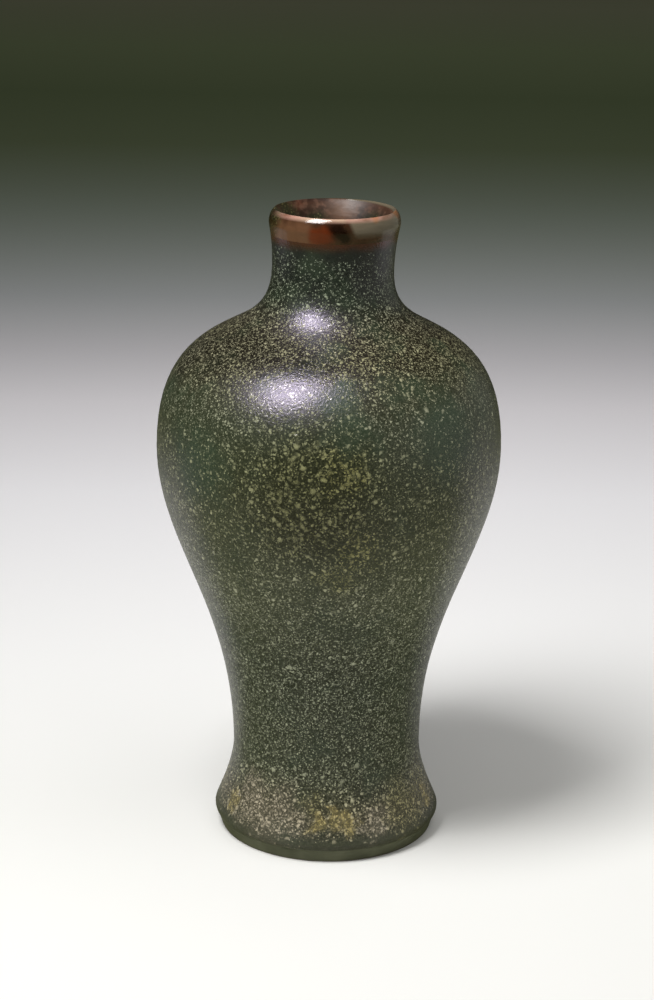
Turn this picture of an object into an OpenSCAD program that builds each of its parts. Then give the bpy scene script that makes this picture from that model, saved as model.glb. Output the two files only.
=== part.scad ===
// Small baluster vase with a spreading foot, a full shoulder and a short neck.
// It is thrown in four sections that are luted together with slip, and every
// face but the resting ring is then coated with glaze.
// Millimetres, +Z up, origin at the middle of the resting face of the foot.

/* [Outline] */
// Widest diameter of the spreading foot
foot_d = 50; // [36:0.5:70]
// Height of the foot's widest part above the table
foot_rise = 4.25; // [4:0.25:8]
// Diameter of the waist above the foot
waist_d = 41.5; // [30:0.5:60]
// Height from the foot's widest part to the waist
foot_to_waist = 15.75; // [12:0.25:30]
// Widest diameter of the belly
belly_d = 74.5; // [62:0.5:110]
// Height from the waist to the belly's widest part
waist_to_belly = 68.5; // [40:0.5:110]
// Diameter of the neck at its narrowest
neck_d = 25.8; // [18:0.2:40]
// Height from the belly's widest part to the neck's narrowest
belly_to_neck = 39; // [28:0.5:70]
// How far the lip stands out beyond the neck, all round
lip_flare = 1; // [0.6:0.05:4]
// Height from the neck's narrowest part to the lip's widest
neck_to_lip = 9.75; // [6:0.25:20]
// Height from the lip's widest part to its top
lip_crown = 2.75; // [2:0.25:6]
// How far the top of the lip lies inside its widest part
lip_roll = 0.95; // [0.6:0.05:1.6]

/* [Fullness of the curves, as shares of each stretch] */
// Foot, just above its widest part
foot_full = 0.05; // [0.03:0.01:0.6]
// Waist, on the side of the foot
waist_low_full = 0.46; // [0.2:0.01:0.7]
// Waist, on the side of the belly
waist_full = 0.47; // [0.2:0.01:0.7]
// Belly, on the side of the waist
belly_full = 0.31; // [0.15:0.01:0.6]
// Shoulder, above the belly's widest part
shoulder_full = 0.82; // [0.4:0.01:0.9]
// Root of the neck
neck_root_full = 0.47; // [0.2:0.01:0.7]
// Neck, above its narrowest part
neck_full = 0.6; // [0.2:0.01:0.8]
// Lip, below its widest part
lip_low_full = 0.08; // [0.05:0.01:0.6]

/* [Walls and coats] */
// Clay wall of the body
wall_t = 2.2; // [1.5:0.1:4]
// Clay wall of the neck at its narrowest
neck_wall = 1.7; // [1.2:0.1:3]
// Clay floor over the recess
floor_t = 4.5; // [3:0.5:6]
// Coat of glaze outside, inside and under the base
glaze_t = 0.4; // [0.2:0.05:0.6]
// Thin wash on the bevel of the foot
wash_t = 0.15; // [0.1:0.05:0.3]
// Slip in each luted joint
slip_t = 0.5; // [0.3:0.1:1]

/* [Foot] */
// How far the resting edge lies inside the foot's widest part
foot_bevel = 1.5; // [1:0.1:4]
// Height of the bevel, where the glaze ends
bevel_h = 3; // [1.5:0.25:3.5]
// How far the edge of the glaze rolls in above the bevel
edge_roll = 0.6; // [0.45:0.05:1]
// Bare clay left between the wash and the table
bare_h = 0.25; // [0.25:0.25:1]
// Width of the resting face
ring_w = 2.8; // [2:0.1:6]
// Depth of the recess under the base
recess_h = 3.2; // [2:0.1:4]
// How far the recess narrows towards its ceiling
recess_taper = 0.8; // [0.2:0.1:2]
// Radius of the flat middle of the floor inside
floor_flat_r = 7; // [3:0.5:10]

/* [Lip and joints] */
// Height of the brown lip glaze on the outside, down from the top
lip_band = 5; // [4.25:0.25:10]
// Depth of the funnel of the mouth, from the top of the lip to the bore
lip_flare_h = 5.5; // [3:0.25:7]
// Glaze over the top of the clay rim
lip_cap = 0.8; // [0.7:0.05:1.2]
// Distance of the neck joint below the neck's narrowest part
neck_joint_drop = 6.4; // [3:0.2:8]

/* [Hidden] */
$fn = 96;
// Straight pieces that each curve is drawn with
steps = 20;
// Shares of a quarter turn that its handles take, from slack to full
mouth_full = 0.3;
round_full = 0.55;
bowl_full = 0.6;
lip_full = 0.45;

// Colours of what shows on more than one piece
clay_colour = "#7d7263";
slip_colour = "#8a7c68";
tea_dust_colour = "#3b4431";

// Heights of the stations of the outline
foot_z = foot_rise;
waist_z = foot_z + foot_to_waist;
belly_z = waist_z + waist_to_belly;
neck_z = belly_z + belly_to_neck;
lip_z = neck_z + neck_to_lip;
top_z = lip_z + lip_crown;

// Radii of the stations of the outline
foot_r = foot_d / 2;
waist_r = waist_d / 2;
belly_r = belly_d / 2;
neck_r = neck_d / 2;
lip_r = neck_r + lip_flare;
rim_r = lip_r - lip_roll;
edge_r = foot_r - edge_roll;
base_r = foot_r - foot_bevel;

// The bore of the neck, the floor inside and the clay rim under the lip glaze
bore_r = neck_r - neck_wall - 2 * glaze_t;
bore_top_z = top_z - lip_flare_h;
floor_z = recess_h + floor_t + glaze_t;
rim_clay_z = top_z - lip_cap;
waist_in_r = waist_r - wall_t - 2 * glaze_t;

// The foot ring and its recess
ring_in_r = base_r - ring_w;
recess_r = ring_in_r - recess_taper;

// Heights at which the sections are luted and the coats meet
waist_joint_z = waist_z;
belly_joint_z = belly_z;
neck_joint_z = neck_z - neck_joint_drop;
lip_band_z = top_z - lip_band;

// A sweep is a cubic curve given by its two ends and a handle at each end.
// Between two stations the wall stands upright at both ends.
function upright(r1, z1, r2, z2, full1, full2) =
    let (rise = z2 - z1)
    [[r1, z1], [r1, z1 + full1 * rise], [r2, z2 - full2 * rise], [r2, z2]];

// A quarter turn from lying flat at the first end to standing upright at the second
function rolled(r1, z1, r2, z2, full) =
    [[r1, z1], [r1 + full * (r2 - r1), z1], [r2, z2 - full * (z2 - z1)], [r2, z2]];

// A sweep taken from its other end
function turned(s) = [s[3], s[2], s[1], s[0]];

edge_sweep = rolled(edge_r, bevel_h, foot_r, foot_z, round_full);
foot_sweep = upright(foot_r, foot_z, waist_r, waist_z, foot_full, waist_low_full);
body_sweep = upright(waist_r, waist_z, belly_r, belly_z, waist_full, belly_full);
shoulder_sweep = upright(belly_r, belly_z, neck_r, neck_z, shoulder_full, neck_root_full);
neck_sweep = upright(neck_r, neck_z, lip_r, lip_z, neck_full, lip_low_full);
lip_sweep = turned(rolled(rim_r, top_z, lip_r, lip_z, lip_full));
bowl_sweep = rolled(floor_flat_r, floor_z, waist_in_r, waist_z, bowl_full);
mouth_sweep = turned(rolled(rim_r, top_z, bore_r, bore_top_z, mouth_full));

// The place on a sweep at share t of its run, and the way that it heads there
function place(s, t) =
    pow(1 - t, 3) * s[0] + 3 * t * pow(1 - t, 2) * s[1]
    + 3 * t * t * (1 - t) * s[2] + pow(t, 3) * s[3];

function heading(s, t) =
    pow(1 - t, 2) * (s[1] - s[0]) + 2 * t * (1 - t) * (s[2] - s[1]) + t * t * (s[3] - s[2]);

// A place on a sweep, set over to the left of the way that the sweep runs
function set_over(s, t, depth) =
    let (h = heading(s, t))
    place(s, t) + depth * [-h.y, h.x] / norm(h);

// The points of sweeps that follow on from each other, set over by depth
function trace(sweeps, depth) = [
    for (s = sweeps) for (i = [0 : steps - 1]) set_over(s, i / steps, depth),
    set_over(sweeps[len(sweeps) - 1], 1, depth)
];

// Where the shoulder, set over by depth, comes in as far as radius r
function shoulder_meets(depth, r) =
    lookup(r, [for (p = trace([shoulder_sweep], depth)) [p.x, p.y]]);

// The inside, from the floor to the top of the lip, set back into the wall by coat
function inside(coat) =
    let (
        depth = wall_t + 2 * glaze_t - coat,
        bore = bore_r + coat,
        bore_foot_z = shoulder_meets(depth, bore)
    )
    concat(
        [for (p = trace([bowl_sweep], -coat)) if (p.y < waist_z) p],
        [for (p = trace([body_sweep, shoulder_sweep], depth)) if (p.y < belly_z || p.x > bore) p],
        [[bore, bore_foot_z]],
        trace([mouth_sweep], -coat)
    );

// Both faces of the outer coat, from its edge above the bevel to the top of the lip.
// The coat thins out to nothing at that edge.
outer_sweeps = [foot_sweep, body_sweep, shoulder_sweep, neck_sweep, lip_sweep];
glaze_outside = trace(concat([edge_sweep], outer_sweeps), 0);
clay_outside = concat([[edge_r, bevel_h]], trace(outer_sweeps, glaze_t));

// Both faces of the inner coat
glaze_inside = inside(0);
clay_inside = inside(glaze_t);

// Radius of a curve at height z
function radius_at(curve, z) = lookup(z, [for (p = curve) [p.y, p.x]]);

// The part of a rising curve from height z1 to height z2
function between(curve, z1, z2) = concat(
    [[radius_at(curve, z1), z1]],
    [for (p = curve) if (p.y > z1 && p.y < z2) p],
    [[radius_at(curve, z2), z2]]
);

function backwards(list) = [for (i = [len(list) - 1 : -1 : 0]) list[i]];

// A ring of the clay wall between two heights
module clay_ring(z1, z2) {
    rotate_extrude()
        polygon(concat(between(clay_outside, z1, z2), backwards(between(clay_inside, z1, z2))));
}

// The slip in the joint at height z
module slip_ring(z) {
    color(slip_colour) clay_ring(z - slip_t / 2, z + slip_t / 2);
}

module foot_section() {
    rim_z = waist_joint_z - slip_t / 2;
    color(clay_colour) rotate_extrude() polygon(concat(
        [[0, recess_h], [recess_r, recess_h], [ring_in_r, 0], [base_r, 0]],
        between(clay_outside, bevel_h, rim_z),
        backwards(between(clay_inside, floor_z - glaze_t, rim_z)),
        [[0, floor_z - glaze_t]]
    ));
}

module lower_body() {
    color(clay_colour) clay_ring(waist_joint_z + slip_t / 2, belly_joint_z - slip_t / 2);
}

module upper_body() {
    color(clay_colour) clay_ring(belly_joint_z + slip_t / 2, neck_joint_z - slip_t / 2);
}

module neck_section() {
    color(clay_colour) clay_ring(neck_joint_z + slip_t / 2, rim_clay_z);
}

module waist_slip_seam() {
    slip_ring(waist_joint_z);
}

module belly_slip_seam() {
    slip_ring(belly_joint_z);
}

module neck_slip_seam() {
    slip_ring(neck_joint_z);
}

module outer_glaze() {
    color(tea_dust_colour) rotate_extrude() polygon(concat(
        between(glaze_outside, bevel_h, lip_band_z),
        backwards(between(clay_outside, bevel_h, lip_band_z))
    ));
}

// The brown glaze runs from the band outside, over the clay rim, into the mouth
module lip_glaze() {
    color("#5b3018") rotate_extrude() polygon(concat(
        between(glaze_outside, lip_band_z, top_z),
        backwards(between(glaze_inside, bore_top_z, top_z)),
        between(clay_inside, bore_top_z, rim_clay_z),
        backwards(between(clay_outside, lip_band_z, rim_clay_z))
    ));
}

module foot_wash() {
    bare_r = base_r + (edge_r - base_r) * bare_h / bevel_h;
    color("#3f4434") rotate_extrude() polygon([
        [bare_r, bare_h], [bare_r + wash_t, bare_h],
        [edge_r + wash_t, bevel_h], [edge_r, bevel_h]
    ]);
}

module inner_glaze() {
    color("#4a4a38") rotate_extrude() polygon(concat(
        [[0, floor_z - glaze_t]],
        between(clay_inside, floor_z - glaze_t, bore_top_z),
        backwards(between(glaze_inside, floor_z, bore_top_z)),
        [[0, floor_z]]
    ));
}

module base_glaze() {
    under_r = recess_r + recess_taper * glaze_t / recess_h;
    color(tea_dust_colour) rotate_extrude() polygon([
        [0, recess_h - glaze_t], [under_r, recess_h - glaze_t], [recess_r, recess_h], [0, recess_h]
    ]);
}

foot_section();
lower_body();
upper_body();
neck_section();
waist_slip_seam();
belly_slip_seam();
neck_slip_seam();
outer_glaze();
lip_glaze();
foot_wash();
inner_glaze();
base_glaze();
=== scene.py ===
"""The looks of a small stoneware vase: tea-dust glaze outside, a brown lip, a dark wash on the foot.

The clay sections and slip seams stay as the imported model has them. The coats of glaze and the turned foot
are modelled here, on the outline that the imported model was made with. Sizes and places are in millimetres.
"""
import math

import bpy
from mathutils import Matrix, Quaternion, Vector


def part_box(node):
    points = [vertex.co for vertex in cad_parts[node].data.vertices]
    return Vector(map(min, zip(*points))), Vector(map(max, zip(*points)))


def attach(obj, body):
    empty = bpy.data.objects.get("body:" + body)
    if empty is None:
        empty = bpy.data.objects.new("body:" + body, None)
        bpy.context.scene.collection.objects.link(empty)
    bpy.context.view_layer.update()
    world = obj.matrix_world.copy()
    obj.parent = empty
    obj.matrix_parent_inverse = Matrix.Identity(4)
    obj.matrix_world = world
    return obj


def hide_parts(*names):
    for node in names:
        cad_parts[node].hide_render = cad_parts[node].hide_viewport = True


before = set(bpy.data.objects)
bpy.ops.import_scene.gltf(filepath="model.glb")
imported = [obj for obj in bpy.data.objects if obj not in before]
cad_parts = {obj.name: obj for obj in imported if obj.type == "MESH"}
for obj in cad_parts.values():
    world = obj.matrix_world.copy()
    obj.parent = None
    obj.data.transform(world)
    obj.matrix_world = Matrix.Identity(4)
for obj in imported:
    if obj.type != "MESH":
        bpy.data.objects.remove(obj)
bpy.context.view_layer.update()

MM = 0.001

# Sizes that the frame gives


def reach(node):
    """Greatest radius, lowest height and greatest height of a turned node."""
    low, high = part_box(node)
    return high.x / MM, low.z / MM, high.z / MM


LIP_R, _, TOP_Z = reach("lip_glaze")
BELLY_R, EDGE_Z, BAND_Z = reach("outer_glaze")
WASH_R, BARE_Z, _ = reach("foot_wash")
_, LINING_Z, BORE_TOP_Z = reach("inner_glaze")
_, _, RECESS_Z = reach("base_glaze")
WAIST_CLAY_R, FOOT_TOP_Z, SEAM_TOP_Z = reach("waist_slip_seam")
WAIST_Z = (FOOT_TOP_Z + SEAM_TOP_Z) / 2
BELLY_Z = sum(reach("belly_slip_seam")[1:]) / 2

# Thicknesses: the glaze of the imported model, the coats made here, the wash on the foot and the whole wall
GLAZE_T = 0.4
COAT_T = 0.35
WASH_T = 0.15
WALL_T = 3.0

# Stations of the outline that no node's box gives
FOOT_R, FOOT_Z = 25.0, 4.25
WAIST_R = WAIST_CLAY_R + GLAZE_T
NECK_R, NECK_Z = 12.9, 127.5
LIP_Z = 137.25
RIM_R = 12.8
BORE_R, BORE_FOOT_Z = 10.4, 123.29
EDGE_R = WASH_R - WASH_T
BASE_R, RING_IN_R, RECESS_R = 23.5, 20.7, 19.9
FLOOR_R, FLOOR_Z = 7.0, LINING_Z + GLAZE_T

# The lip's crest: half its rounded width, and each brim's width with how much it falls for each mm
CREST_HALF = 0.15
LIP_BRIM, LIP_FALL = 0.8, 1.0
MOUTH_BRIM, MOUTH_FALL = 0.9, 0.9

# How full the curves are at their ends, as shares of each stretch
ROUND_FULL, BOWL_FULL = 0.55, 0.6
FOOT_FULL, WAIST_LOW_FULL = 0.05, 0.46
WAIST_FULL, BELLY_FULL = 0.47, 0.31
SHOULDER_FULL, NECK_ROOT_FULL = 0.82, 0.47
NECK_FULL, LIP_LOW_FULL = 0.6, 0.08
LIP_FULL, MOUTH_FULL = 0.38, 0.35

# How finely the turned pieces are drawn, along a curve and round the axis
CURVE_STEPS = 28
TURN_STEPS = 192

# How near points merge, at the seam of a turned piece and where skins are joined, and the sharpest angle
# that is smoothed
SEAM_GAP, JOIN_GAP = 0.002, 0.1
SMOOTH_ANGLE = math.radians(35)

# How far off the axis the vase leans, at every 20 mm of its height, and how its mouth is tilted
LEAN = (0.4, 0.2, -0.08, -0.15, -0.22, -0.15, -0.05, 0.42)
MOUTH_TILT, MOUTH_LIFT = math.radians(2), 0.3

# Swells in the fired glaze, by name, width and depth, and the share of the depth that sinks into the wall
SWELLS = (("long_swell", 32, 0.22), ("short_ripple", 7, 0.035))
SWELL_LEVEL = 0.15


# A sweep is a cubic curve of four (radius, height) points: an end, its handle, the other handle and end


def upright(r1, z1, r2, z2, full1, full2):
    """Between two stations where the wall stands upright."""
    rise = z2 - z1
    return [(r1, z1), (r1, z1 + full1 * rise), (r2, z2 - full2 * rise), (r2, z2)]


def rolled(r1, z1, r2, z2, full):
    """A quarter turn from lying flat at the first end to standing upright at the second."""
    return [(r1, z1), (r1 + full * (r2 - r1), z1), (r2, z2 - full * (z2 - z1)), (r2, z2)]


def straight(r1, z1, r2, z2):
    """A straight stretch."""
    dr, dz = (r2 - r1) / 3, (z2 - z1) / 3
    return [(r1, z1), (r1 + dr, z1 + dz), (r2 - dr, z2 - dz), (r2, z2)]


def brim(r, z, width, fall, full):
    """A side of the lip, from beside its crest down a brim of that width to an upright wall at r, z."""
    side = math.copysign(1, r - RIM_R)
    near_crest, far_edge = ((RIM_R + side * out, TOP_Z - fall * out) for out in (CREST_HALF, width))
    return [near_crest, far_edge, (r, z + full * (TOP_Z - z)), (r, z)]


EDGE = rolled(EDGE_R, EDGE_Z, FOOT_R, FOOT_Z, ROUND_FULL)
FOOT = upright(FOOT_R, FOOT_Z, WAIST_R, WAIST_Z, FOOT_FULL, WAIST_LOW_FULL)
BODY = upright(WAIST_R, WAIST_Z, BELLY_R, BELLY_Z, WAIST_FULL, BELLY_FULL)
SHOULDER = upright(BELLY_R, BELLY_Z, NECK_R, NECK_Z, SHOULDER_FULL, NECK_ROOT_FULL)
NECK = upright(NECK_R, NECK_Z, LIP_R, LIP_Z, NECK_FULL, LIP_LOW_FULL)
LIP = brim(LIP_R, LIP_Z, LIP_BRIM, LIP_FALL, LIP_FULL)[::-1]
MOUTH = brim(BORE_R, BORE_TOP_Z, MOUTH_BRIM, MOUTH_FALL, MOUTH_FULL)
CREST = [LIP[-1], (RIM_R, TOP_Z), (RIM_R, TOP_Z), MOUTH[0]]


# Modelling


def turn(name, sweeps, steps=CURVE_STEPS):
    """Draws the sweeps as one curve and spins it round the axis, as clay is turned on a wheel."""
    bpy.ops.object.select_all(action="DESELECT")
    bpy.ops.curve.primitive_bezier_curve_add()
    piece = bpy.context.object
    piece.name = name
    piece.data.resolution_u = steps
    points = piece.data.splines[0].bezier_points
    points.add(len(sweeps) - 1)
    for point in points:
        point.handle_left_type = point.handle_right_type = "FREE"
    for i, sweep in enumerate(sweeps):
        start, out, back, end = (Vector((r, 0, z)) * MM for r, z in sweep)
        points[i].co, points[i].handle_right = start, out
        points[i + 1].handle_left, points[i + 1].co = back, end
    points[0].handle_left = points[0].co
    points[len(sweeps)].handle_right = points[len(sweeps)].co
    bpy.ops.object.convert(target="MESH")
    piece.data.name = name
    bpy.ops.object.mode_set(mode="EDIT")
    bpy.ops.mesh.select_all(action="SELECT")
    bpy.ops.mesh.spin(steps=TURN_STEPS, angle=math.tau, center=(0, 0, 0), axis=(0, 0, 1))
    close_up(SEAM_GAP)
    return piece


def close_up(gap):
    """Merges seams and poles of the mesh in edit mode, turns its faces outwards and leaves edit mode."""
    bpy.ops.mesh.select_all(action="SELECT")
    bpy.ops.mesh.remove_doubles(threshold=gap * MM)
    bpy.ops.mesh.normals_make_consistent(inside=False)
    bpy.ops.object.mode_set(mode="OBJECT")


def modify(piece, kind, **settings):
    """Adds one modifier to the piece and applies it."""
    bpy.context.view_layer.objects.active = piece
    modifier = piece.modifiers.new(kind.lower(), kind)
    for key, value in settings.items():
        setattr(modifier, key, value)
    bpy.ops.object.modifier_apply(modifier=modifier.name)


def pooled(piece):
    """Lets the surface rise a little here and there, as a fired glaze does."""
    for name, width, depth in SWELLS:
        clouds = bpy.data.textures.get(name) or bpy.data.textures.new(name, "CLOUDS")
        clouds.noise_scale = width * MM
        modify(piece, "DISPLACE", texture=clouds, texture_coords="LOCAL",
               mid_level=SWELL_LEVEL, strength=depth * MM)


def throwing_cage():
    """A cage that holds how the vase was thrown and dried: a little off its axis, the mouth up in front."""
    bpy.ops.object.add(type="LATTICE", location=(0, 0, TOP_Z / 2 * MM))
    cage = bpy.context.object
    width = 2 * BELLY_R
    cage.scale = (width * MM, width * MM, TOP_Z * MM)
    cage.data.points_u = cage.data.points_v = 2
    cage.data.points_w = len(LEAN)
    cage.data.interpolation_type_w = "KEY_CATMULL_ROM"
    corners = 4
    for i, point in enumerate(cage.data.points):
        point.co_deform.x += LEAN[i // corners] / width
    for point in cage.data.points[-corners:]:
        point.co_deform.z += (MOUTH_LIFT - width * point.co.y * math.tan(MOUTH_TILT)) / TOP_Z
    return cage


def cut_level(piece, height, keep_above):
    """Cuts the outside of the piece at a height. The inside of the mouth stays whole."""
    bpy.context.view_layer.objects.active = piece
    mid_wall_r = (BORE_R + NECK_R) / 2
    for face in piece.data.polygons:
        face.select = Vector(face.center[:2]).length > mid_wall_r * MM and face.center.z < LIP_Z * MM
    bpy.ops.object.mode_set(mode="EDIT")
    bpy.ops.mesh.select_mode(type="FACE")
    bpy.ops.mesh.bisect(plane_co=(0, 0, height * MM), plane_no=(0, 0, 1),
                        clear_inner=keep_above, clear_outer=not keep_above)
    bpy.ops.mesh.select_mode(type="VERT")
    bpy.ops.object.mode_set(mode="OBJECT")


def thicken(piece, depth, outwards=False):
    """Gives a skin its thickness, behind the face that shows."""
    modify(piece, "SOLIDIFY", thickness=depth * MM, offset=1 if outwards else -1, use_even_offset=True)


def finish_piece(piece, slot, *nodes):
    """Bends and smooths the piece, hangs it from the root body and hides the nodes it replaces. The slot, the
    finish it would take, is not used.
    """
    modify(piece, "LATTICE", object=CAGE)
    bpy.ops.object.select_all(action="DESELECT")
    piece.select_set(True)
    bpy.context.view_layer.objects.active = piece
    bpy.ops.object.shade_smooth_by_angle(angle=SMOOTH_ANGLE)
    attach(piece, "root")
    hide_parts(*nodes)
    return piece


def unroll(piece):
    """Lays a coat out flat, the seam at the back and its unseen inner wall squeezed into a narrow strip."""
    strip, hidden_top = 0.04, 0.036
    layer = piece.data.uv_layers.new(name="OFBake")

    def around(place):
        return math.atan2(place.x, -place.y) / math.tau + 0.5

    def along(place):
        radius, height = Vector(place[:2]).length / MM, place.z / MM
        return height + math.copysign(BELLY_R - radius, height - BELLY_Z)

    ways = [along(vertex.co) for vertex in piece.data.vertices]
    low, high = min(ways), max(ways)
    for face in piece.data.polygons:
        hidden = face.normal.dot((face.center.x, face.center.y, 0)) < 0
        middle = around(face.center)
        for loop in face.loop_indices:
            vertex = piece.data.loops[loop].vertex_index
            turned = around(piece.data.vertices[vertex].co)
            share = (ways[vertex] - low) / (high - low)
            layer.uv[loop].vector = (
                turned + round(middle - turned),
                hidden_top * share if hidden else strip + (1 - strip) * share)


# Pieces


CAGE = throwing_cage()


def tea_dust_coat():
    """The speckled coat, from the rolled edge above the bevel to the brown band."""
    piece = turn("tea_dust_coat", [EDGE, FOOT, BODY, SHOULDER, NECK])
    pooled(piece)
    cut_level(piece, BAND_Z, keep_above=False)
    thicken(piece, COAT_T)
    unroll(piece)
    return finish_piece(piece, "tea_dust_glaze", "outer_glaze")


def lip_coat():
    """The brown coat, from the band outside, over the rim and into the mouth."""
    piece = turn("lip_coat", [NECK, LIP, CREST, MOUTH])
    pooled(piece)
    cut_level(piece, BAND_Z, keep_above=True)
    thicken(piece, COAT_T)
    return finish_piece(piece, "brown_lip_glaze", "lip_glaze")


def foot_wash_band():
    """The thin wash on the bevel of the foot, from the bare edge to the end of the glaze."""
    bare_r = BASE_R + (EDGE_R - BASE_R) * BARE_Z / EDGE_Z
    piece = turn("foot_wash_band", [straight(bare_r + WASH_T, BARE_Z, EDGE_R + WASH_T, EDGE_Z)], steps=8)
    thicken(piece, WASH_T)
    return finish_piece(piece, "dark_foot_wash", "foot_wash")


def lining():
    """The coat inside: the bowl of the foot, the hollow body and the straight bore of the neck."""
    piece = turn("lining", [BODY, SHOULDER])
    bpy.ops.object.mode_set(mode="EDIT")
    bpy.ops.mesh.select_all(action="SELECT")
    bpy.ops.transform.shrink_fatten(value=-WALL_T * MM)
    bpy.ops.mesh.select_all(action="SELECT")
    bpy.ops.mesh.bisect(plane_co=(0, 0, BORE_FOOT_Z * MM), plane_no=(0, 0, 1), clear_outer=True)
    bpy.ops.object.mode_set(mode="OBJECT")
    bowl = turn("bowl", [
        straight(0, FLOOR_Z, FLOOR_R, FLOOR_Z),
        rolled(FLOOR_R, FLOOR_Z, WAIST_R - WALL_T, WAIST_Z, BOWL_FULL),
    ], steps=12)
    bore = turn("bore", [straight(BORE_R, BORE_FOOT_Z, BORE_R, BORE_TOP_Z)], steps=8)
    bpy.ops.object.select_all(action="DESELECT")
    for part in (bowl, bore, piece):
        part.select_set(True)
    bpy.context.view_layer.objects.active = piece
    bpy.ops.object.join()
    bpy.ops.object.mode_set(mode="EDIT")
    close_up(JOIN_GAP)
    thicken(piece, COAT_T, outwards=True)
    return finish_piece(piece, "inner_glaze", "inner_glaze")


def turned_foot():
    """The clay of the foot, with its bare resting ring and the recess under the base."""
    clay_in_r = WAIST_R - WALL_T + GLAZE_T
    clay_floor_z = FLOOR_Z - GLAZE_T
    piece = turn("turned_foot", [
        straight(0, RECESS_Z, RECESS_R, RECESS_Z),
        straight(RECESS_R, RECESS_Z, RING_IN_R, 0),
        straight(RING_IN_R, 0, BASE_R, 0),
        straight(BASE_R, 0, EDGE_R, EDGE_Z),
        straight(EDGE_R, EDGE_Z, FOOT_R - GLAZE_T, FOOT_Z),
        upright(FOOT_R - GLAZE_T, FOOT_Z, WAIST_CLAY_R, FOOT_TOP_Z, FOOT_FULL, WAIST_LOW_FULL),
        straight(WAIST_CLAY_R, FOOT_TOP_Z, clay_in_r, FOOT_TOP_Z),
        rolled(FLOOR_R, clay_floor_z, clay_in_r, FOOT_TOP_Z, BOWL_FULL)[::-1],
        straight(FLOOR_R, clay_floor_z, 0, clay_floor_z),
    ], steps=10)
    return finish_piece(piece, "stoneware_clay", "foot_section")


def base_coat():
    """The glaze on the ceiling of the recess, a little thinner where it runs up to the ring."""
    under_z = RECESS_Z - GLAZE_T
    shoulder_r = RECESS_R - 2 * GLAZE_T
    piece = turn("base_coat", [
        straight(0, under_z, shoulder_r, under_z),
        rolled(shoulder_r, under_z, RECESS_R, RECESS_Z, ROUND_FULL),
        straight(RECESS_R, RECESS_Z, 0, RECESS_Z),
    ], steps=8)
    return finish_piece(piece, "tea_dust_glaze", "base_glaze")


# Materials


def linear(code):
    """An sRGB hex colour as linear red, green, blue and a full alpha."""
    parts = [int(code[i:i + 2], 16) / 255 for i in (1, 3, 5)]
    return tuple(c / 12.92 if c <= 0.04045 else ((c + 0.055) / 1.055) ** 2.4 for c in parts) + (1,)


def link(tree, node, links):
    """Gives the node's inputs, by name or place, a value, a hex colour, a node or a node's output."""
    for key, value in links.items():
        named = isinstance(key, str)
        socket = next(s for s in node.inputs if s.enabled and s.name == key) if named else node.inputs[key]
        if isinstance(value, bpy.types.Node):
            value = next(s for s in value.outputs if s.enabled)
        if isinstance(value, bpy.types.NodeSocket):
            tree.links.new(value, socket)
        else:
            socket.default_value = linear(value) if isinstance(value, str) else value


def add(tree, kind, links=None, stops=(), **settings):
    """Adds a node with its settings and links, and with a ramp's stops, each a place and a colour."""
    node = tree.nodes.new("ShaderNode" + kind)
    for key, value in settings.items():
        setattr(node, key, value)
    link(tree, node, links or {})
    for i, (place, colour) in enumerate(stops):
        ramp = node.color_ramp.elements
        stop = ramp[i] if i < 2 else ramp.new(place)
        stop.position = place
        stop.color = linear(colour) if isinstance(colour, str) else colour
    return node


def new_material(name):
    """An empty material with its shader, and Object coordinates in millimetres."""
    material = bpy.data.materials.new(name)
    material.use_nodes = True
    tree = material.node_tree
    shader = tree.nodes["Principled BSDF"]
    place = add(tree, "VectorMath", {0: add(tree, "TexCoord").outputs["Object"], "Scale": 1 / MM},
                operation="SCALE")
    return material, tree, shader, place


def graded(tree, way, length, stops):
    """Colours that change along a way of that length, from (mm, colour) pairs."""
    share = add(tree, "Math", {0: way, 1: length}, operation="DIVIDE")
    return add(tree, "ValToRGB", {"Fac": share}, [(mm / length, colour) for mm, colour in stops])


def tinged(tree, colour, veils):
    """The colour under thin veils, each given by where it lies, its depth there and its tint."""
    for cover, depth, tint in veils:
        veil = add(tree, "Math", {0: cover, 1: depth}, operation="MULTIPLY")
        colour = add(tree, "Mix", {"Factor": veil, "A": colour, "B": tint}, data_type="RGBA")
    return colour


def wander(tree, place, swirls):
    """The place, shifted to and fro in swirls, each given by its size and about how far it shifts."""
    for size, depth in swirls:
        swirl = add(tree, "TexNoise", {"Vector": place, "Scale": 1 / size, "Detail": 1}, normalize=False)
        place = add(tree, "VectorMath", {0: swirl.outputs["Color"], 1: (depth,) * 3, 2: place},
                    operation="MULTIPLY_ADD")
    return place


def grains(tree, place, spacing, share):
    """Crystals about spacing mm apart, grown in a share of their places: their cover, tone and facets."""
    cells = add(tree, "TexVoronoi", {"Vector": place, "Scale": 1 / spacing})
    dice = add(tree, "SeparateColor", {"Color": cells.outputs["Color"]})
    grown = add(tree, "Math", {0: dice.outputs["Red"], 1: share}, operation="LESS_THAN")
    radius = add(tree, "MapRange", {"Value": dice.outputs["Green"], "To Min": 0.3, "To Max": 0.62})
    out = add(tree, "Math", {0: cells.outputs["Distance"], 1: radius}, operation="DIVIDE")
    body = add(tree, "MapRange", {"Value": out, "From Min": 1.15, "From Max": 0.35},
               interpolation_type="SMOOTHSTEP")
    cover = add(tree, "Math", {0: body, 1: grown}, operation="MULTIPLY")
    away = add(tree, "VectorMath", {0: place, 1: cells.outputs["Position"]}, operation="SUBTRACT")
    toss = add(tree, "TexWhiteNoise", {"Vector": cells.outputs["Position"]})
    slope = add(tree, "VectorMath", {0: toss.outputs["Color"], 1: (0.5,) * 3}, operation="SUBTRACT")
    facet = add(tree, "VectorMath", {0: away, 1: slope}, operation="DOT_PRODUCT")
    return cover, dice.outputs["Blue"], facet


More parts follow.
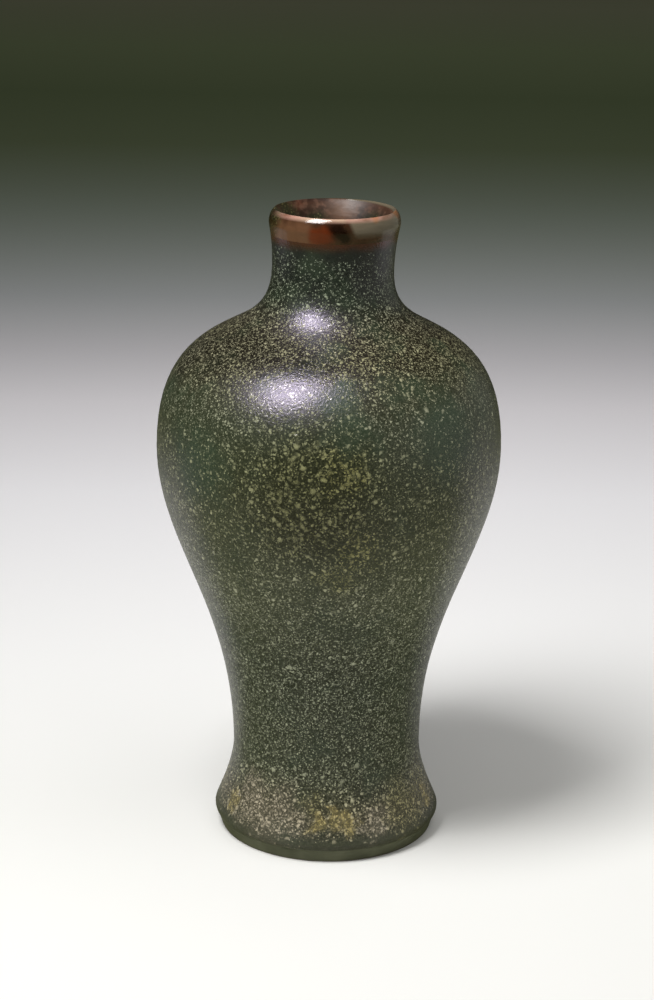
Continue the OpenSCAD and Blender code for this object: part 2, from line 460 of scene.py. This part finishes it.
def near(tree, place, spots):
    """1 in the core of each spot and 0 past its edge. A spot is an x, y, z and radius."""
    core = 0.25
    cover = 0.0
    for *middle, radius in spots:
        away = add(tree, "VectorMath", {0: place, 1: middle}, operation="DISTANCE")
        spot = add(tree, "MapRange", {"Value": away, "From Min": radius, "From Max": core * radius},
                   interpolation_type="SMOOTHSTEP")
        cover = add(tree, "Math", {0: cover, 1: spot}, operation="MAXIMUM")
    return cover


# Where the green glaze fades into the brown, the width and height of the waves in that edge, and the
# colours on its two sides
BAND_FADE = (132.8, 135.4)
WAVE_W, WAVE_LIFT = 5, 1.2
SEAM_GREEN, LOW_BROWN = "#1c231b", "#4b2a17"

# Roughness of the green ground, of its crystals, of the brown glaze and of that glaze in the mouth
SATIN, CRYSTAL, GLOSS, MOUTH_GLOSS = 0.37, 0.18, 0.15, 0.48

# Widths in the tea-dust glaze: its clouds, its dust, the grain of its skin, the spacing of fine, middling
# and coarse crystals, and the swirls that bend the crystals and fray the patches
CLOUD_W, DUST_W, SKIN_W = 11, 0.4, 0.5
CRYSTAL_SPACING = (0.4, 0.72, 1.15)
CRYSTAL_SWIRLS = ((1.5, 0.35), (0.6, 0.16))
PATCH_SWIRLS = ((4, 2.5), (1.2, 1.0))

# Patches in the tea-dust glaze, as spots: the first four kinds lie on the body, the others on the foot
TEA_DUST_PATCHES = {
    "coarse": ((-4, -36.5, 88, 21), (6, 36, 86, 20), (-34, 10, 80, 12)),
    "yellow": ((3.3, -36.9, 93, 7), (6.6, -34.5, 75, 9), (2, -35, 68, 7), (-20, 30, 90, 7),
               (30, 20, 84, 6)),
    "sparse": ((24.9, -26.6, 97.6, 13), (2, -31, 106, 7), (4, -35.5, 101, 7), (-27, -25, 90, 12),
               (-28, 22, 100, 10), (14, 32, 100, 8)),
    # The smoky spots are partly smoky glaze. Those on the left front of the shoulder are painted shade,
    # darkening the side that the key lamp lights most.
    "smoky_and_shade": ((-22, -14, 112, 12), (-14, -20, 114, 10), (-28, -6, 110, 11), (-6, -26, 114, 8),
              (18, 20, 113, 12)),
    "ochre": ((-1.5, -23.1, 8.6, 3.6), (3.8, -22.7, 9.6, 3.4), (6.2, -22.6, 8.0, 3), (-20.5, -11, 8.7, 3),
              (-21.0, -10.5, 11, 2.4), (22.5, -7, 9.5, 3.4), (13, 19, 9, 3.8), (-15, 17.5, 8.4, 3.4)),
    "cream": ((-11.8, -19.8, 9.2, 11), (-16, -16, 11, 8), (10.5, -20.6, 8.2, 5), (20, 10, 9, 9),
              (-4, 22.5, 9.5, 9)),
    "olive": ((17, -15, 9, 10), (21, -9, 12, 8), (-3, -22, 13, 4), (-14, 17, 11, 8)),
}


def band_edge(tree, place):
    """0 in the green glaze and 1 in the brown: the soft, uneven lower edge of the band."""
    wave = add(tree, "TexNoise", {"Vector": place, "Scale": 1 / WAVE_W, "Detail": 2})
    lift = add(tree, "MapRange", {"Value": wave, "To Min": -WAVE_LIFT, "To Max": WAVE_LIFT})
    height = add(tree, "SeparateXYZ", {0: place}).outputs["Z"]
    level = add(tree, "Math", {0: height, 1: lift}, operation="ADD")
    return add(tree, "MapRange", {"Value": level, "From Min": BAND_FADE[0], "From Max": BAND_FADE[1]},
               interpolation_type="SMOOTHSTEP")


def green_ground(tree, height, clouds, patches):
    """The ground: green, near black on the shoulder and darker still with painted shade on its left front,
    bluer where there are few crystals.
    """
    ground = graded(tree, height, TOP_Z, (
        (4.4, "#3f4330"), (6.0, "#313523"), (10, "#33321a"), (14, "#2b2f19"), (22, "#2c341c"),
        (45, "#2a331a"), (62, "#434a2f"), (75, "#3f462b"), (90, "#30371f"), (100, "#2e351f"),
        (106, "#282b16"), (113, "#151102"), (118, "#171403"), (122, "#1a1f0f"), (128, "#151d12"),
        (133, SEAM_GREEN)))
    few = add(tree, "MapRange", {"Value": clouds, "From Min": 0.48, "From Max": 0.32, "To Max": 0.6})
    few = add(tree, "Math", {0: few, 1: patches["sparse"]}, operation="MAXIMUM")
    return tinged(tree, ground, (
        (few, 1, "#303f2a"),
        (patches["coarse"], 0.85, "#21250a"),
        # smoky glaze, with painted shade on the left front of the shoulder
        (patches["smoky_and_shade"], 0.75, "#0f0c02"),
        (patches["olive"], 0.3, "#545236"),
        (patches["cream"], 0.4, "#625d4a"),
        (patches["ochre"], 0.55, "#7a7048")))


def crystal_colour(tree, height, patches):
    """The colour of the palest crystals, by height and patch."""
    pale = graded(tree, height, TOP_Z, (
        (5, "#a29d83"), (8, "#c2b696"), (12, "#bcb694"), (18, "#b3b698"), (40, "#b3b89c"), (62, "#b8ba9c"),
        (78, "#a6a682"), (92, "#a0a17c"), (102, "#a2a489"), (113, "#aaa680"), (118, "#aaa688"),
        (123, "#a0a88e"), (131, "#9da68e")))
    return tinged(tree, pale, (
        (patches["coarse"], 0.8, "#89885c"),
        # greyer crystals in the smoky glaze and in its painted shade
        (patches["smoky_and_shade"], 0.7, "#959178"),
        (patches["yellow"], 0.7, "#a09b60"),
        (patches["olive"], 0.7, "#aca570"),
        (patches["cream"], 1, "#c2b79e"),
        (patches["ochre"], 1, "#c2b278")))


def crystal_growth(tree, height, clouds, patches):
    """The shares of fine, middling and coarse crystals that have grown, and the depth of the dust.

    Each height has its shares of middling and fine crystals, its dust and its share of coarse crystals.
    Clouds and patches then thin the crystals out or thicken them.
    """
    growth = graded(tree, height, TOP_Z, (
        (4.8, (0, 0, 0.1, 0)), (6.6, (0.4, 0.55, 0.2, 0.25)), (12, (0.4, 0.6, 0.15, 0.2)),
        (16, (0.22, 0.8, 0.12, 0.05)), (25, (0.06, 1.0, 0.1, 0)), (58, (0.14, 0.95, 0.1, 0.04)),
        (72, (0.3, 0.6, 0.1, 0.1)), (84, (0.25, 0.55, 0.1, 0.1)), (98, (0.25, 0.55, 0.1, 0.05)),
        (106, (0.25, 0.75, 0.1, 0)), (112, (0.25, 1.0, 0.05, 0)), (119, (0.25, 1.0, 0.05, 0)),
        (123, (0.08, 0.7, 0.05, 0)), (131, (0.05, 0.5, 0.05, 0)), (134, (0, 0, 0, 0))))
    middling, fine, dust = add(tree, "SeparateColor", {"Color": growth.outputs["Color"]}).outputs
    busy = add(tree, "MapRange", {"Value": clouds, "From Min": 0.3, "From Max": 0.55,
                                  "To Min": 0.6, "To Max": 1.1})
    thin = add(tree, "MapRange", {"Value": patches["sparse"], "To Min": 1, "To Max": 0.45})
    busy = add(tree, "Math", {0: busy, 1: thin}, operation="MULTIPLY")
    rich = add(tree, "Math", {0: patches["ochre"], 1: patches["cream"]}, operation="MAXIMUM")
    rich = add(tree, "Math", {0: rich, 1: patches["olive"]}, operation="MAXIMUM")
    shares = []
    for grown, thicker in (
            (fine, ((rich, 0.25),)),
            (middling, ((rich, 0.25), (patches["coarse"], 0.25), (patches["yellow"], 0.2))),
            (growth.outputs["Alpha"],
             ((patches["ochre"], 0.4), (patches["coarse"], 0.35), (patches["yellow"], 0.25)))):
        share = add(tree, "Math", {0: grown, 1: busy}, operation="MULTIPLY")
        for patch, more in thicker:
            share = add(tree, "Math", {0: patch, 1: more, 2: share}, operation="MULTIPLY_ADD")
        shares.append(share)
    return shares, dust


def tea_dust():
    """Tea-dust glaze: a satin dark green iron glaze, fired until it fills with pale yellow-green crystals.

    The crystals give the eye a dusting of specks, coarse on the belly, fine below it, dense on the brown
    shoulder, sparse on the neck, and run together into cream and ochre patches where the glaze pools on the
    foot.
    """
    material, tree, shader, place = new_material("tea_dust_glaze")
    height = add(tree, "SeparateXYZ", {0: place}).outputs["Z"]
    clouds = add(tree, "TexNoise", {"Vector": place, "Scale": 1 / CLOUD_W, "Detail": 4, "Roughness": 0.6})
    ragged = wander(tree, place, PATCH_SWIRLS)
    patches = {name: near(tree, ragged, spots) for name, spots in TEA_DUST_PATCHES.items()}
    colour = green_ground(tree, height, clouds, patches)
    pale = crystal_colour(tree, height, patches)
    shares, dust = crystal_growth(tree, height, clouds, patches)

    # Dust too fine to tell apart, and a faintly rough skin
    haze = add(tree, "TexNoise", {"Vector": place, "Scale": 1 / DUST_W, "Detail": 1})
    haze = add(tree, "MapRange", {"Value": haze, "From Min": 0.4, "From Max": 0.75})
    haze = add(tree, "Math", {0: haze, 1: dust}, operation="MULTIPLY")
    colour = add(tree, "Mix", {"Factor": haze, "A": colour, "B": pale}, data_type="RGBA")
    skin = add(tree, "TexNoise", {"Vector": place, "Scale": 1 / SKIN_W, "Detail": 1})
    relief = add(tree, "Math", {0: skin, 1: 0.2}, operation="MULTIPLY")

    # Fine to coarse crystals of uneven outline, each with a facet that tilts its own way
    bent = wander(tree, place, CRYSTAL_SWIRLS)
    crystals = 0.0
    for share, spacing in zip(shares, CRYSTAL_SPACING):
        cover, tone, facet = grains(tree, bent, spacing, share)
        depth = add(tree, "MapRange", {"Value": tone, "To Min": 0.2, "To Max": 1})
        depth = add(tree, "Math", {0: depth, 1: cover}, operation="MULTIPLY")
        colour = add(tree, "Mix", {"Factor": depth, "A": colour, "B": pale}, data_type="RGBA")
        relief = add(tree, "Math", {0: cover, 1: facet, 2: relief}, operation="MULTIPLY_ADD")
        crystals = add(tree, "Math", {0: cover, 1: crystals}, operation="MAXIMUM")

    # Smoother in the smoky spots, which are partly painted shade, and glossy where the brown band begins
    satin = add(tree, "MapRange", {"Value": crystals, "To Min": SATIN, "To Max": CRYSTAL})
    calm = add(tree, "MapRange", {"Value": patches["smoky_and_shade"], "To Min": 1, "To Max": 0.7})
    satin = add(tree, "Math", {0: satin, 1: calm}, operation="MULTIPLY")
    edge = band_edge(tree, place)
    link(tree, shader, {
        "Base Color": add(tree, "Mix", {"Factor": edge, "A": colour, "B": LOW_BROWN}, data_type="RGBA"),
        "Roughness": add(tree, "Mix", {"Factor": edge, "A": satin, "B": GLOSS}),
        "Normal": add(tree, "Bump", {"Height": relief, "Strength": 0.3, "Distance": MM}),
        "IOR": 1.73,
        "Specular Tint": "#ede0fd",
    })
    return material


# Widths in the brown glaze: its streaks, the mottling in the mouth, the spacing of its few crystals, and
# the swirls that fray its patches
STREAK_W, MOTTLE_W, SPECK_SPACING = 2.5, 1.4, 0.5
LIP_SWIRLS = ((2.5, 0.6),)

# Patches in the brown glaze, as spots: tan, red and near-black streaks, orange on the crest, and green where
# the glaze below shows through. On the left front the tan spots are also a painted pale reflection, and on
# the lip's front the near-black spots are a painted dark reflection.
TAN_STREAKS_AND_REFLECTION = ((-6.5, -12.3, 136.8, 4.5), (-9, -10.5, 136.5, 4.5), (-11.5, -7.5, 137, 4), (2, 13.5, 136, 6))
RED_STREAKS = ((-3.4, -13.4, 137, 2.8), (-1.6, -13.7, 137.2, 2.8), (-9, 10.5, 138, 3))
DARK_STREAKS_AND_REFLECTION = ((0.7, -13.8, 138.5, 2.6), (1.6, -13.7, 137.5, 2.6), (2.2, -13.6, 136.7, 2.2),
                (-13.8, -1, 138, 3.2), (12, 7, 137.5, 2.5), (4, 13, 138, 2.5))
ORANGE_SPOTS = ((12.5, -2.5, 140, 2.6), (8.5, -9.6, 140.4, 1.6))
GREEN_SPOTS = ((-11.5, 0, 138.6, 5), (-9.5, 5, 138, 5), (-11, -5, 139, 4), (-3, 9.5, 135.5, 3.5),
               (8, 6, 136, 4))

# The painted olive reflection of a card on the right of the band: between which places its sharp end lies,
# how far that slants for each mm of height, and over which heights it fades in
REFLECTION_END, REFLECTION_SLANT, REFLECTION_FADE = (3.9, 4.8), 0.45, (135.6, 137.2)

# The thin glaze on the crest and its painted pink highlight: how far forward and over which heights they fade
# in, and how near the crest the mouth's colours begin
THIN_AND_GLINT_FRONT, THIN_AND_GLINT_FADE = (-3, -10), (138.95, 139.7)
MOUTH_EDGE = 0.25


def lip_ground(tree, place, height, inside, streaks):
    """Brown outside, mottled in the mouth and darker there with painted shade, with dark streaks drawn out
    along the band.
    """
    outside = graded(tree, height, TOP_Z, (
        (BAND_Z - 1.5, "#3a3018"), (BAND_Z + 0.5, "#4a3220"), (137.2, "#42301e"), (139.0, "#3a2416"),
        (TOP_Z, "#3c2012")))
    # In the mouth the colour darkens towards the bore and at the crest: painted shade.
    mouth = graded(tree, height, TOP_Z, (
        (BORE_TOP_Z - 1, "#1f190f"), (136, "#281e14"), (137.6, "#38281c"), (138.8, "#4e3424"),
        (139.5, "#533420"), (TOP_Z, "#341b0c")))
    mottle = add(tree, "TexNoise", {"Vector": place, "Scale": 1 / MOTTLE_W, "Detail": 2})
    mottle = add(tree, "ValToRGB", {"Fac": mottle}, (
        (0.38, "#140c06"), (0.5, "#302218"), (0.62, "#6c4e3e")))
    mouth = add(tree, "Mix", {"Factor": 0.4, "A": mouth, "B": mottle}, data_type="RGBA")
    brown = add(tree, "Mix", {"Factor": inside, "A": outside, "B": mouth}, data_type="RGBA")
    drawn = add(tree, "MapRange", {"Value": streaks, "From Min": 0.42, "From Max": 0.72})
    return tinged(tree, brown, ((drawn, 0.6, "#2a1208"),))


def painted_card_reflection(tree, x, height, inside):
    """The cover of a painted olive reflection on the right of the band, with a sharp slanting end beside the
    dark reflection.
    """
    rise = add(tree, "Math", {0: height, 1: LIP_Z}, operation="SUBTRACT")
    slant = add(tree, "Math", {0: rise, 1: REFLECTION_SLANT, 2: x}, operation="MULTIPLY_ADD")
    card_reflection = add(tree, "MapRange", {"Value": slant, "From Min": REFLECTION_END[0], "From Max": REFLECTION_END[1]})
    upper = add(tree, "MapRange", {"Value": height, "From Min": REFLECTION_FADE[0], "From Max": REFLECTION_FADE[1]})
    outside = add(tree, "MapRange", {"Value": inside, "To Min": 1, "To Max": 0})
    for share in (upper, outside):
        card_reflection = add(tree, "Math", {0: card_reflection, 1: share}, operation="MULTIPLY")
    return card_reflection


def thin_crest_and_glint(tree, y, height):
    """The cover of the front of the crest, where the glaze runs thin and a pale painted highlight lies on it.
    """
    front = add(tree, "MapRange", {"Value": y, "From Min": THIN_AND_GLINT_FRONT[0], "From Max": THIN_AND_GLINT_FRONT[1]})
    crest = add(tree, "MapRange", {"Value": height, "From Min": THIN_AND_GLINT_FADE[0], "From Max": THIN_AND_GLINT_FADE[1]})
    return add(tree, "Math", {0: crest, 1: front}, operation="MULTIPLY")


def brown_lip():
    """Iron-brown glaze: glossy and deep red-brown, thin and tan where it breaks over the crest in front, with
    a painted pink highlight there and painted reflections on the band.
    """
    material, tree, shader, place = new_material("brown_lip_glaze")
    ragged = wander(tree, place, LIP_SWIRLS)
    along = add(tree, "VectorMath", {0: place, 1: (0.5, 0.5, 1.4)}, operation="MULTIPLY")
    streaks = add(tree, "TexNoise", {"Vector": along, "Scale": 1 / STREAK_W, "Detail": 3})

    # The height as it was before the mouth tilted, and 1 inside the mouth
    x, y, z = add(tree, "SeparateXYZ", {0: place}).outputs
    height = add(tree, "Math", {0: y, 1: math.tan(MOUTH_TILT), 2: z}, operation="MULTIPLY_ADD")
    height = add(tree, "Math", {0: height, 1: MOUTH_LIFT}, operation="SUBTRACT")
    flat = add(tree, "VectorMath", {0: place, 1: (1, 1, 0)}, operation="MULTIPLY")
    radius = add(tree, "VectorMath", {0: flat}, operation="LENGTH")
    inside = add(tree, "MapRange", {"Value": radius, "From Min": RIM_R, "From Max": RIM_R - MOUTH_EDGE})

    green = near(tree, ragged, GREEN_SPOTS)
    # Pale pink-tan colours: thin glaze with a painted highlight on it
    thin = add(tree, "ValToRGB", {"Fac": streaks}, (
        (0.35, "#8a624e"), (0.48, "#b88c7c"), (0.62, "#c0a088")))
    cover, _, _ = grains(tree, place, SPECK_SPACING, 0.5)
    specks = add(tree, "Math", {0: cover, 1: green}, operation="MULTIPLY")
    brown = tinged(tree, lip_ground(tree, place, height, inside, streaks), (
        # tan streaks, and on the left front a painted pale reflection
        (near(tree, ragged, TAN_STREAKS_AND_REFLECTION), 0.85, "#6c4c35"),
        (near(tree, ragged, RED_STREAKS), 0.85, "#662a10"),
        # near-black streaks, and on the front a painted dark reflection
        (near(tree, ragged, DARK_STREAKS_AND_REFLECTION), 0.85, "#0f0301"),
        (green, 0.85, "#22260f"),
        # painted olive reflection of a pale card on the right of the band
        (painted_card_reflection(tree, x, height, inside), 0.8, "#6d6452"),
        # thin glaze over the crest in front, with a painted pink highlight
        (thin_crest_and_glint(tree, y, height), 0.85, thin),
        (near(tree, ragged, ORANGE_SPOTS), 0.5, "#a8622c"),
        (specks, 1, "#5c5634")))

    shine = add(tree, "MapRange", {"Value": inside, "To Min": GLOSS, "To Max": MOUTH_GLOSS})
    edge = band_edge(tree, place)
    link(tree, shader, {
        "Base Color": add(tree, "Mix", {"Factor": edge, "A": SEAM_GREEN, "B": brown}, data_type="RGBA"),
        "Roughness": add(tree, "Mix", {"Factor": edge, "A": SATIN, "B": shine}),
        "Normal": add(tree, "Bump", {"Height": streaks, "Strength": 0.12, "Distance": MM}),
        "IOR": 1.52,
    })
    return material


# Widths of the clouds in the wash, the liner and the clay, and the spacing of the throwing rings
WASH_CLOUD_W, LINER_CLOUD_W, CLAY_CLOUD_W = 6, 8, 7
RING_W = 3.14


def foot_wash():
    """Thin iron wash, brushed on the bevel: smooth satin olive with the clay showing faintly through."""
    material, tree, shader, place = new_material("dark_foot_wash")
    cloud = add(tree, "TexNoise", {"Vector": place, "Scale": 1 / WASH_CLOUD_W, "Detail": 4})
    link(tree, shader, {
        "Base Color": add(tree, "ValToRGB", {"Fac": cloud}, ((0.3, "#4d503c"), (0.7, "#65674f"))),
        "Roughness": add(tree, "MapRange", {"Value": cloud, "To Min": 0.35, "To Max": 0.55}),
        "IOR": 1.5,
    })
    return material


def liner_glaze():
    """Liner glaze, poured in and out: glossy olive brown with faint throwing rings under it."""
    material, tree, shader, place = new_material("inner_glaze")
    cloud = add(tree, "TexNoise", {"Vector": place, "Scale": 1 / LINER_CLOUD_W, "Detail": 4})
    # A wave texture runs through 20 radians in one unit
    wave_scale = math.tau / 20 / RING_W
    rings = add(tree, "TexWave", {"Vector": place, "Scale": wave_scale, "Distortion": 1.5},
                bands_direction="Z")
    link(tree, shader, {
        "Base Color": add(tree, "ValToRGB", {"Fac": cloud}, ((0.3, "#2e2614"), (0.7, "#38321f"))),
        "Roughness": add(tree, "MapRange", {"Value": cloud, "To Min": 0.18, "To Max": 0.32}),
        "Normal": add(tree, "Bump", {"Height": rings, "Strength": 0.4, "Distance": 0.3 * MM}),
    })
    return material


def fired_clay(name, pale, dark, grit):
    """Bare fired stoneware: matt, slightly gritty, with iron freckles about grit mm across."""
    material, tree, shader, place = new_material(name)
    cloud = add(tree, "TexNoise", {"Vector": place, "Scale": 1 / CLAY_CLOUD_W, "Detail": 5})
    body = add(tree, "ValToRGB", {"Fac": cloud}, ((0.3, dark), (0.7, pale)))
    freckle, _, _ = grains(tree, place, 2 * grit, 0.15)
    sand = add(tree, "TexNoise", {"Vector": place, "Scale": 1 / grit})
    link(tree, shader, {
        "Base Color": add(tree, "Mix", {"Factor": freckle, "A": body, "B": "#3d2f22"}, data_type="RGBA"),
        "Roughness": add(tree, "MapRange", {"Value": cloud, "To Min": 0.75, "To Max": 0.92}),
        "Normal": add(tree, "Bump", {"Height": sand, "Strength": 0.5, "Distance": 0.08 * MM}),
    })
    return material


def dress(piece, material):
    """Gives the piece this material and no other."""
    piece.data.materials.clear()
    piece.data.materials.append(material)


TEA_DUST = tea_dust()
CLAY = fired_clay("stoneware_clay", "#8d8270", "#6e6353", 0.5)
SLIP = fired_clay("joining_slip", "#94866f", "#7d705c", 0.35)

dress(tea_dust_coat(), TEA_DUST)
dress(lip_coat(), brown_lip())
dress(foot_wash_band(), foot_wash())
dress(lining(), liner_glaze())
dress(turned_foot(), CLAY)
dress(base_coat(), TEA_DUST)
for node in ("lower_body", "upper_body", "neck_section"):
    dress(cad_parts[node], CLAY)
for node in ("waist_slip_seam", "belly_slip_seam", "neck_slip_seam"):
    dress(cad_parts[node], SLIP)


# Stage


# The paper's radius, how far behind the vase its colour keeps changing, and between which places the flags in
# front of the vase and far behind it fade in
PAPER_R = 4000
PAPER_FADE = 1500
NEAR_FLAG, FAR_FLAG = (60, 10), (150, 320)


def floor():
    """A wide sheet of matt paper, its colour painted from pale under the vase to grey-green far behind it as
    painted light and shade.
    """
    bpy.ops.object.select_all(action="DESELECT")
    bpy.ops.mesh.primitive_circle_add(vertices=128, radius=PAPER_R * MM, fill_type="NGON")
    sheet = bpy.context.object
    sheet.name = "floor"
    material, tree, shader, place = new_material("pale_paper")
    behind = add(tree, "SeparateXYZ", {0: place}).outputs["Y"]
    # The colour by distance is painted light and shade: pale near the lamps, darker grey-green further back,
    # paler again at the far end.
    colour = graded(tree, behind, PAPER_FADE, (
        (0, "#f5f4f0"), (90, "#fbfaf8"), (240, "#fffdff"), (345, "#f7f3f6"), (420, "#e4e1e4"),
        (510, "#ced1d1"), (690, "#b8c4b2"), (870, "#a2b286"), (1050, "#aabe8a"), (1260, "#d6eab0"),
        (PAPER_FADE, "#f8ffd2")))
    # The olive flags keep the bright paper out of the vase's glaze. Only reflections show them.
    ahead = add(tree, "MapRange", {"Value": behind, "From Min": NEAR_FLAG[0], "From Max": NEAR_FLAG[1],
                                   "To Max": 0.95})
    far = add(tree, "MapRange", {"Value": behind, "From Min": FAR_FLAG[0], "From Max": FAR_FLAG[1],
                                 "To Min": 0.35, "To Max": 0.95})
    flag = add(tree, "Math", {0: ahead, 1: far}, operation="MAXIMUM")
    glossy = add(tree, "LightPath").outputs["Is Glossy Ray"]
    flag = add(tree, "Math", {0: flag, 1: glossy}, operation="MULTIPLY")
    link(tree, shader, {
        "Base Color": add(tree, "Mix", {"Factor": flag, "A": colour, "B": "#626630"}, data_type="RGBA"),
        "Roughness": 0.9,
    })
    dress(sheet, material)


def softbox(name, place, aim, size, radiance, spread=180, tint="#ffffff", diffuse=True, gloss=True):
    """A flat lamp of that size. Its face has that radiance, and its light fans out by spread degrees."""
    bpy.ops.object.light_add(type="AREA", location=Vector(place) * MM)
    lamp = bpy.context.object
    lamp.name = name
    lamp.rotation_euler = (Vector(aim) - Vector(place)).to_track_quat("-Z", "Y").to_euler()
    width, height = (side * MM for side in size)
    half = math.radians(spread) / 2
    lamp.data.spread = 2 * half
    lamp.data.shape = "RECTANGLE"
    lamp.data.size, lamp.data.size_y = width, height
    lamp.data.energy = radiance * math.pi * width * height * (1 - half / math.tan(half))
    lamp.data.color = linear(tint)[:3]
    lamp.visible_camera = False
    lamp.visible_diffuse = diffuse
    lamp.visible_glossy = gloss


def studio():
    """A near key softbox high on the left, dim ones on the right and over the paper, and an olive card."""
    softbox("key_softbox", (-175, -168, 512), (0, 0, 50), (180, 260), 21, spread=142)
    softbox("fill_softbox", (250, -120, 450), (50, 0, 30), (600, 600), 0.88, gloss=False)
    softbox("paper_softbox", (50, 340, 500), (50, 260, 0), (600, 250), 1.8, spread=90, gloss=False)
    softbox("right_card", (300, -30, 120), (0, -30, 120), (870, 240), 0.31, tint="#e4ead6", diffuse=False)
    world = bpy.data.worlds.new("dim_room")
    bpy.context.scene.world = world
    world.use_nodes = True
    link(world.node_tree, world.node_tree.nodes["Background"], {"Color": "#fdfcf2", "Strength": 0.03})


def camera():
    """The photograph's view: from the front and a little above, rolled by less than a degree."""
    aim = Vector((-0.42, 0, 75.66)) * MM
    elevation, distance = math.radians(17.87), 560.9 * MM
    roll = math.radians(0.84)
    back = Vector((0, -math.cos(elevation), math.sin(elevation)))
    bpy.ops.object.camera_add(location=aim + distance * back)
    view = bpy.context.object
    turned = (-back).to_track_quat("-Z", "Y") @ Quaternion((0, 0, 1), roll)
    view.rotation_euler = turned.to_euler()
    view.data.sensor_width = 36
    view.data.lens = 92.26
    bpy.context.scene.camera = view


floor()
studio()
camera()
bpy.context.scene.view_settings.view_transform = "Standard"

bpy.data.objects.remove(CAGE)
